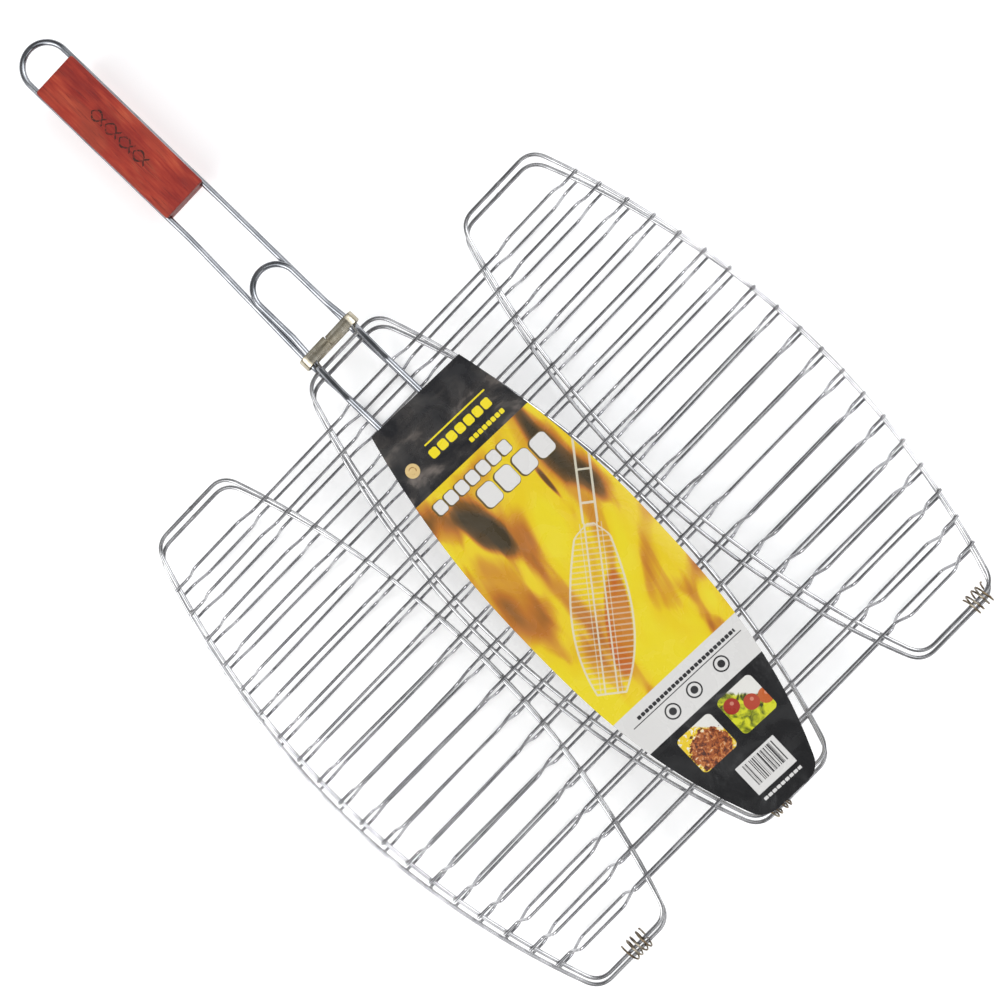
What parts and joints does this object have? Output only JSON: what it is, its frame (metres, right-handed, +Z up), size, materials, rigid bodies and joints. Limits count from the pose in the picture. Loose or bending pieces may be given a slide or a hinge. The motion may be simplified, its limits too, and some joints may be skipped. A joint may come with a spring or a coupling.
{
  "type": "grill basket",
  "caption": "Flat wire grill basket with leaf-shaped fish compartments side by side, sprung hinge wires, a sliding clasp and a long handle with a wooden grip.",
  "frame": {"origin": "under the middle of the closed basket and its handle, on the surface it lies on", "axes": "+Y along the handle towards its loop, +Z up, +X across the lobes"},
  "size_m": [0.4142, 0.6607, 0.0546],
  "materials": {
    "basket_wire": "bright plated wire",
    "handle_wire": "bright plated rod",
    "spring_wire": "dark heat-tinted spring wire",
    "clasp_sheet": "brushed nickel sheet",
    "stained_wood": "red stain, satin",
    "printed_card": "printed and laminated"
  },
  "bodies": {
    "lower_half": {"lower_bar_01": "basket_wire", "lower_bar_02": "basket_wire", "lower_bar_03": "basket_wire", "lower_bar_04": "basket_wire", "lower_bar_05": "basket_wire", "lower_bar_06": "basket_wire", "lower_bar_07": "basket_wire", "lower_bar_08": "basket_wire", "lower_bar_09": "basket_wire", "lower_bar_10": "basket_wire", "lower_bar_11": "basket_wire", "lower_bar_12": "basket_wire", "lower_bar_13": "basket_wire", "lower_bar_14": "basket_wire", "lower_bar_15": "basket_wire", "lower_bar_16": "basket_wire", "lower_bar_17": "basket_wire", "lower_bar_18": "basket_wire", "lower_bar_19": "basket_wire", "lower_frame_left": "basket_wire", "lower_frame_middle": "basket_wire", "lower_frame_right": "basket_wire", "long_handle": "handle_wire", "wood_grip": "stained_wood", "hinge_spring_left": "spring_wire", "hinge_spring_middle": "spring_wire", "hinge_spring_right": "spring_wire"},
    "upper_half": {"upper_bar_01": "basket_wire", "upper_bar_02": "basket_wire", "upper_bar_03": "basket_wire", "upper_bar_04": "basket_wire", "upper_bar_05": "basket_wire", "upper_bar_06": "basket_wire", "upper_bar_07": "basket_wire", "upper_bar_08": "basket_wire", "upper_bar_09": "basket_wire", "upper_bar_10": "basket_wire", "upper_bar_11": "basket_wire", "upper_bar_12": "basket_wire", "upper_bar_13": "basket_wire", "upper_bar_14": "basket_wire", "upper_bar_15": "basket_wire", "upper_bar_16": "basket_wire", "upper_bar_17": "basket_wire", "upper_bar_18": "basket_wire", "upper_bar_19": "basket_wire", "upper_frame_left": "basket_wire", "upper_frame_middle": "basket_wire", "upper_frame_right": "basket_wire", "short_handle": "handle_wire", "printed_card": "printed_card"},
    "clasp": {"slide_clasp": "clasp_sheet"}
  },
  "joints": [
    {"name": "basket_hinge", "type": "hinge", "parent": "lower_half", "child": "upper_half", "pos_m": [0.0028, -0.3224, 0.0288], "axis": [1, 0, 0], "range_deg": [0, 180]},
    {"name": "clasp_slide", "type": "slide", "parent": "lower_half", "child": "clasp", "axis": [0, 1, 0], "range_m": [0, 0.118]}
  ]
}
